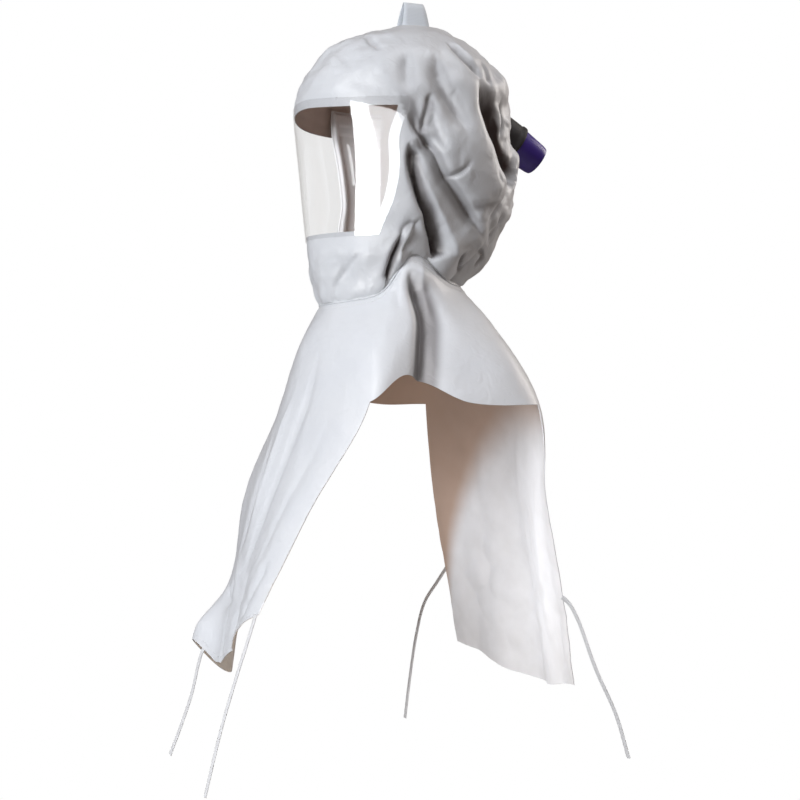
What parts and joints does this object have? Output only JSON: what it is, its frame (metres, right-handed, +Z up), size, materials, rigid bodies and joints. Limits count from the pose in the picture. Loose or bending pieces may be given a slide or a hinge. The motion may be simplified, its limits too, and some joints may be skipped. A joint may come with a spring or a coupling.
{
  "type": "respirator hood",
  "caption": "Loose respirator hood of coated cloth with a wrap-round clear visor, gathered neck, split cape with ties, hang loop and a hose coupling at the nape.",
  "frame": {"origin": "top of the crown on the middle plane, where the hood sits on the wearer's head harness", "axes": "+Z up, the visor faces -Y, the wearer's left is +X and the hose coupling leaves towards +Y"},
  "size_m": [0.3678, 0.446, 0.8643],
  "materials": {
    "coated_cloth": "white nonwoven cloth with a glossy coating outside",
    "visor_sheet": "clear bent plastic sheet",
    "tape": "white woven tape",
    "gland": "black rubber sleeve",
    "coupling": "purple moulded plastic",
    "inner_plate": "light grey moulded plastic"
  },
  "bodies": {
    "root": {"hood": "coated_cloth", "visor": "visor_sheet", "neck_seam": "coated_cloth", "cape": "coated_cloth", "hang_loop": "tape", "inlet_collar": "gland", "hose_inlet": "coupling", "side_plate": "inner_plate", "tie_front_left": "tape", "tie_front_right": "tape", "tie_rear_left": "tape", "tie_rear_right": "tape"}
  },
  "joints": []
}
